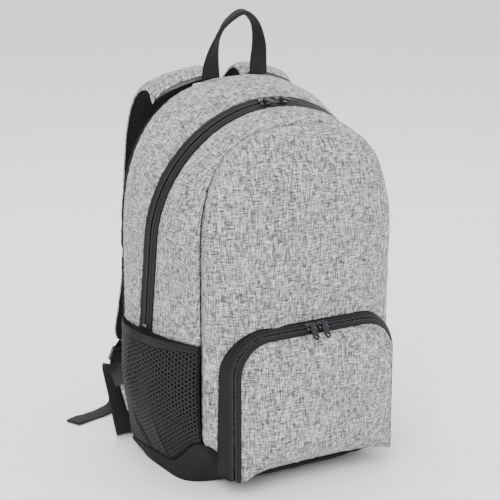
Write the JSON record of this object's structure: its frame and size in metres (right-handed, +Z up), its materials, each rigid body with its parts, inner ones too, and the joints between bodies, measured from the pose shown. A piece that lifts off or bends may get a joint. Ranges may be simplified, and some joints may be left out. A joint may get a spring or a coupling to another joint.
{
  "type": "backpack",
  "caption": "Travel backpack in heather cloth with a zipped main compartment, zipped front pocket, mesh side pockets, padded straps and a covered USB charging port.",
  "frame": {"origin": "on the floor plane that the flat base rests on, at the middle of the body between its two sides, below the line between front and back seams", "axes": "+Z up along the bag, +Y towards the back padding and shoulder straps, -Y towards the front pocket, +X the side with the charging port"},
  "size_m": [0.3486, 0.3749, 0.5363],
  "materials": {
    "heather": "two-tone woven polyester, matte",
    "black_cloth": "plain woven polyester, matte",
    "spacer_mesh": "padded back cloth, matte",
    "pocket_mesh": "open knitted mesh",
    "webbing": "ribbed polypropylene webbing",
    "tape": "woven zip tape",
    "coil": "nylon coil",
    "gunmetal": "black plated zinc",
    "pull": "moulded pull tab",
    "lock": "moulded acetal",
    "port": "moulded housing",
    "port_cover": "soft moulded cover",
    "steel": "stamped shell",
    "foam": "closed cell foam",
    "lining": "plain lining",
    "board": "sheet stiffener"
  },
  "bodies": {
    "root": {"back_cover": "spacer_mesh", "back_foam": "foam", "back_lining": "lining", "rear_gusset": "heather", "front_gusset": "heather", "front_panel": "heather", "side_panel_left": "black_cloth", "side_panel_right": "black_cloth", "base_plate": "black_cloth", "base_skirt": "black_cloth", "base_board": "board", "zip_tape_rear": "tape", "zip_tape_front": "tape", "zip_coil_rear": "coil", "zip_coil_front": "coil", "zip_stops": "gunmetal", "pocket_panel": "heather", "pocket_gusset": "black_cloth", "pocket_tape_rear": "tape", "pocket_tape_front": "tape", "pocket_coil_rear": "coil", "pocket_coil_front": "coil", "mesh_pocket_left": "pocket_mesh", "mesh_pocket_right": "pocket_mesh", "mesh_binding_left": "tape", "mesh_binding_right": "tape", "lower_webbing_left": "webbing", "lower_webbing_right": "webbing", "corner_tab_left": "heather", "corner_tab_right": "heather", "usb_port_base": "port", "usb_port_nut": "port", "usb_socket": "steel", "power_bank_pocket": "lining", "laptop_sleeve": "lining"},
    "main_slider_left_body": {"main_slider_left": "gunmetal"},
    "main_slider_right_body": {"main_slider_right": "gunmetal"},
    "main_puller_left_body": {"main_puller_left": "pull"},
    "main_puller_right_body": {"main_puller_right": "pull"},
    "pocket_slider_left_body": {"pocket_slider_left": "gunmetal"},
    "pocket_slider_right_body": {"pocket_slider_right": "gunmetal"},
    "pocket_puller_left_body": {"pocket_puller_left": "pull"},
    "pocket_puller_right_body": {"pocket_puller_right": "pull"},
    "handle": {"grab_handle": "webbing"},
    "strap_left": {"strap_cover_left": "heather", "strap_foam_left": "foam", "strap_lining_left": "spacer_mesh", "strap_webbing_left": "webbing"},
    "strap_right": {"strap_cover_right": "heather", "strap_foam_right": "foam", "strap_lining_right": "spacer_mesh", "strap_webbing_right": "webbing"},
    "lock_left": {"ladder_lock_left": "lock"},
    "lock_right": {"ladder_lock_right": "lock"},
    "port_cover_body": {"usb_port_cover": "port_cover"},
    "closure": {"sleeve_closure": "webbing"}
  },
  "joints": [
    {"name": "main_slider_left_run", "type": "hinge", "parent": "root", "child": "main_slider_left_body", "pos_m": [0, 0.0022, 0.287], "axis": [0, -0.989, -0.1478], "range_deg": [0, 82]},
    {"name": "main_puller_left_flip", "type": "hinge", "parent": "main_slider_left_body", "child": "main_puller_left_body", "pos_m": [-0.01134, -0.02239, 0.43951], "axis": [-0.9973, 0.0108, -0.0724], "range_deg": [0, 130]},
    {"name": "main_slider_right_run", "type": "hinge", "parent": "root", "child": "main_slider_right_body", "pos_m": [0, 0.0022, 0.287], "axis": [0, 0.989, 0.1478], "range_deg": [0, 82]},
    {"name": "main_puller_right_flip", "type": "hinge", "parent": "main_slider_right_body", "child": "main_puller_right_body", "pos_m": [0.01134, -0.02239, 0.43951], "axis": [-0.9973, -0.0108, 0.0724], "range_deg": [0, 130]},
    {"name": "pocket_slider_left_run", "type": "slide", "parent": "root", "child": "pocket_slider_left_body", "axis": [-1, 0, 0], "range_m": [0, 0.05]},
    {"name": "pocket_puller_left_flip", "type": "hinge", "parent": "pocket_slider_left_body", "child": "pocket_puller_left_body", "pos_m": [-0.008, -0.11983, 0.19236], "axis": [-1, 0, 0], "range_deg": [0, 110]},
    {"name": "pocket_slider_right_run", "type": "slide", "parent": "root", "child": "pocket_slider_right_body", "axis": [1, 0, 0], "range_m": [0, 0.05]},
    {"name": "pocket_puller_right_flip", "type": "hinge", "parent": "pocket_slider_right_body", "child": "pocket_puller_right_body", "pos_m": [0.008, -0.11983, 0.19236], "axis": [-1, 0, 0], "range_deg": [0, 110]},
    {"name": "handle_tilt", "type": "hinge", "parent": "root", "child": "handle", "pos_m": [0, 0.066, 0.4538], "axis": [1, 0, 0], "range_deg": [-20, 60]},
    {"name": "strap_left_swing", "type": "hinge", "parent": "root", "child": "strap_left", "pos_m": [0, 0.0805, 0.4415], "axis": [1, 0, 0], "range_deg": [-8, 20], "deforming": ["lower_webbing_left"]},
    {"name": "strap_right_swing", "type": "hinge", "parent": "root", "child": "strap_right", "pos_m": [0, 0.0805, 0.4415], "axis": [1, 0, 0], "range_deg": [-8, 20], "deforming": ["lower_webbing_right"]},
    {"name": "lock_left_tilt", "type": "hinge", "parent": "strap_left", "child": "lock_left", "pos_m": [-0.083, 0.213, 0.085], "axis": [1, 0, 0], "range_deg": [-15, 25], "deforming": ["lower_webbing_left"]},
    {"name": "lock_right_tilt", "type": "hinge", "parent": "strap_right", "child": "lock_right", "pos_m": [0.083, 0.213, 0.085], "axis": [1, 0, 0], "range_deg": [-15, 25], "deforming": ["lower_webbing_right"]},
    {"name": "port_cover_flip", "type": "hinge", "parent": "root", "child": "port_cover_body", "pos_m": [0.15882, 0.057, 0.2585], "axis": [0, -1, 0], "range_deg": [0, 105]},
    {"name": "sleeve_closure_lift", "type": "hinge", "parent": "root", "child": "closure", "pos_m": [0, 0.0797, 0.3136], "axis": [-1, 0, 0], "range_deg": [0, 75]}
  ]
}
